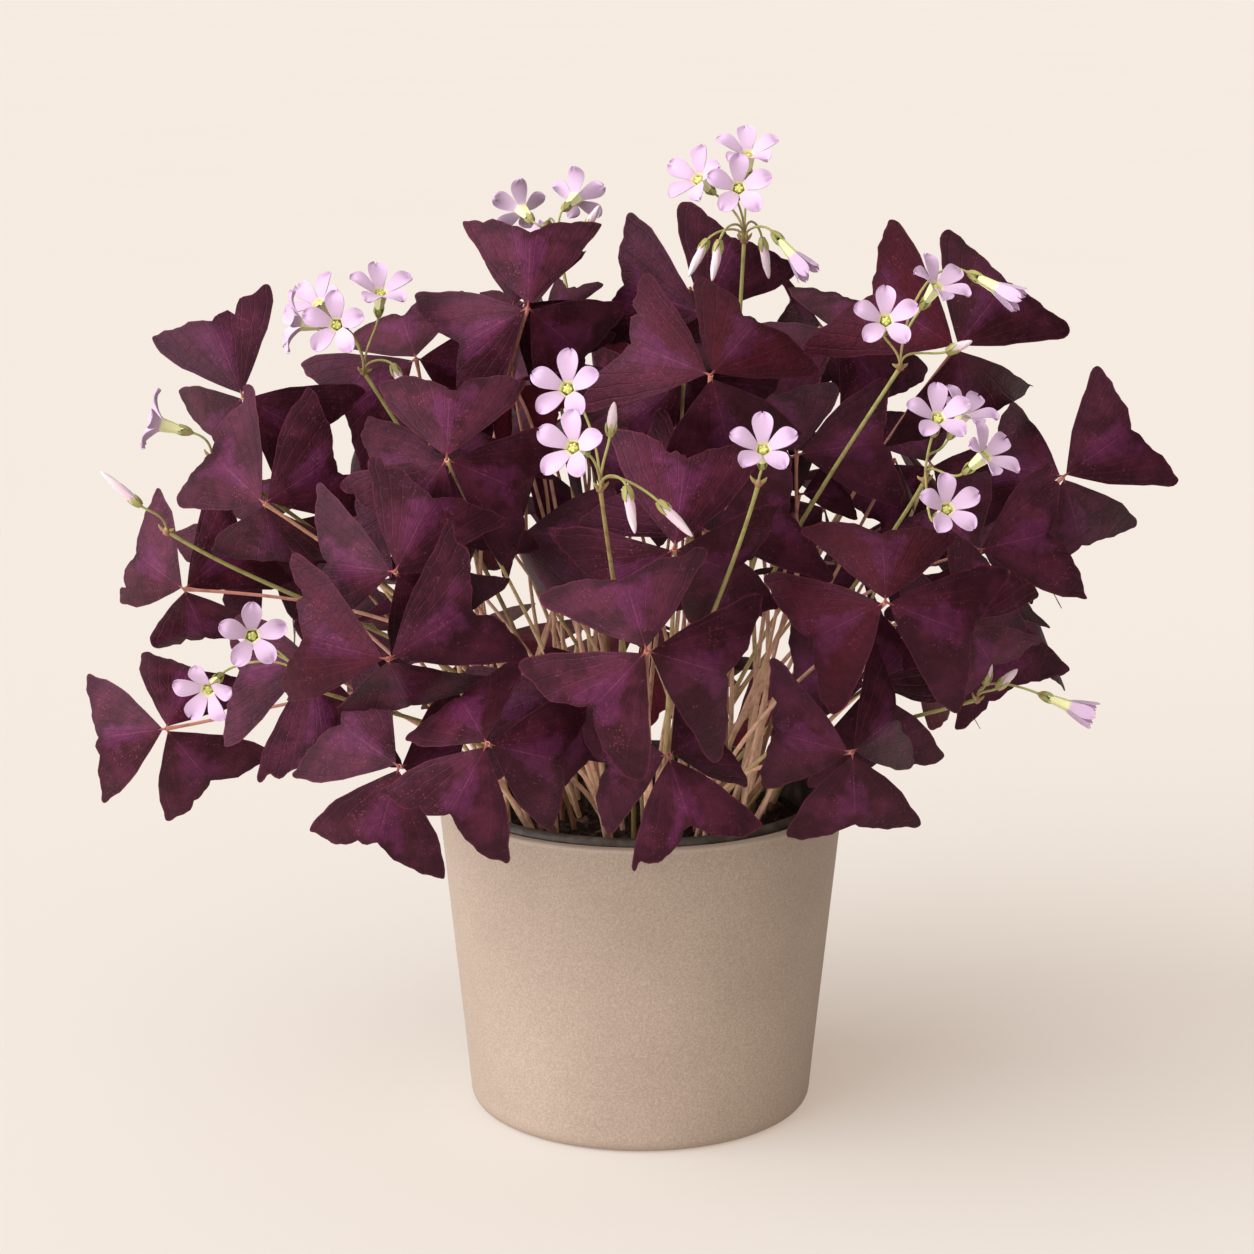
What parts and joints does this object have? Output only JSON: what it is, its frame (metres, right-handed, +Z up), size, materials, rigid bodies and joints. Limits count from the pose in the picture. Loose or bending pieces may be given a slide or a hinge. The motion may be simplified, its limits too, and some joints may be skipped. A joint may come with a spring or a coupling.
{
  "type": "potted purple shamrock",
  "caption": "Purple shamrock houseplant: a mound of three-part purple leaves and small pale pink flowers, in a nursery pot inside a tapered stoneware cover pot.",
  "frame": {"origin": "centre of the cover pot's flat foot, on the surface that it stands on", "axes": "+Z up along the pot's axis, -Y towards the front of the plant, +X to its right seen from the front"},
  "size_m": [0.3792, 0.334, 0.3514],
  "materials": {
    "stoneware": "matte",
    "plastic": "satin",
    "soil": "matte",
    "leaf": "satin",
    "stalk": "satin",
    "petal": "satin"
  },
  "bodies": {
    "root": {"bloom_01": "petal", "bloom_02": "petal", "bloom_03": "petal", "bloom_04": "petal", "bloom_05": "petal", "bloom_06": "petal", "bloom_07": "petal", "bloom_08": "petal", "bloom_09": "petal", "bloom_10": "petal", "bloom_11": "petal", "bloom_12": "petal", "bloom_13": "petal", "bloom_14": "petal", "bloom_15": "petal", "bloom_16": "petal", "bloom_17": "petal", "bloom_18": "petal", "bloom_19": "petal", "bloom_20": "petal", "bloom_21": "petal", "bloom_22": "petal", "bloom_23": "petal", "bloom_24": "petal", "bloom_25": "petal", "cover_pot": "stoneware", "nursery_pot": "plastic", "soil": "soil", "stalk_01": "stalk", "stalk_02": "stalk", "stalk_03": "stalk", "stalk_04": "stalk", "stalk_05": "stalk", "stalk_06": "stalk", "stalk_07": "stalk", "stalk_08": "stalk", "stalk_09": "stalk", "stalk_10": "stalk", "stalk_11": "stalk", "tuft_01": "leaf", "tuft_02": "leaf", "tuft_03": "leaf", "tuft_04": "leaf", "tuft_05": "leaf", "tuft_06": "leaf", "tuft_07": "leaf", "tuft_08": "leaf", "tuft_09": "leaf", "tuft_10": "leaf", "tuft_11": "leaf", "tuft_12": "leaf", "tuft_13": "leaf", "tuft_14": "leaf", "tuft_15": "leaf", "tuft_16": "leaf", "tuft_17": "leaf", "tuft_18": "leaf", "tuft_19": "leaf", "tuft_20": "leaf"}
  },
  "joints": []
}
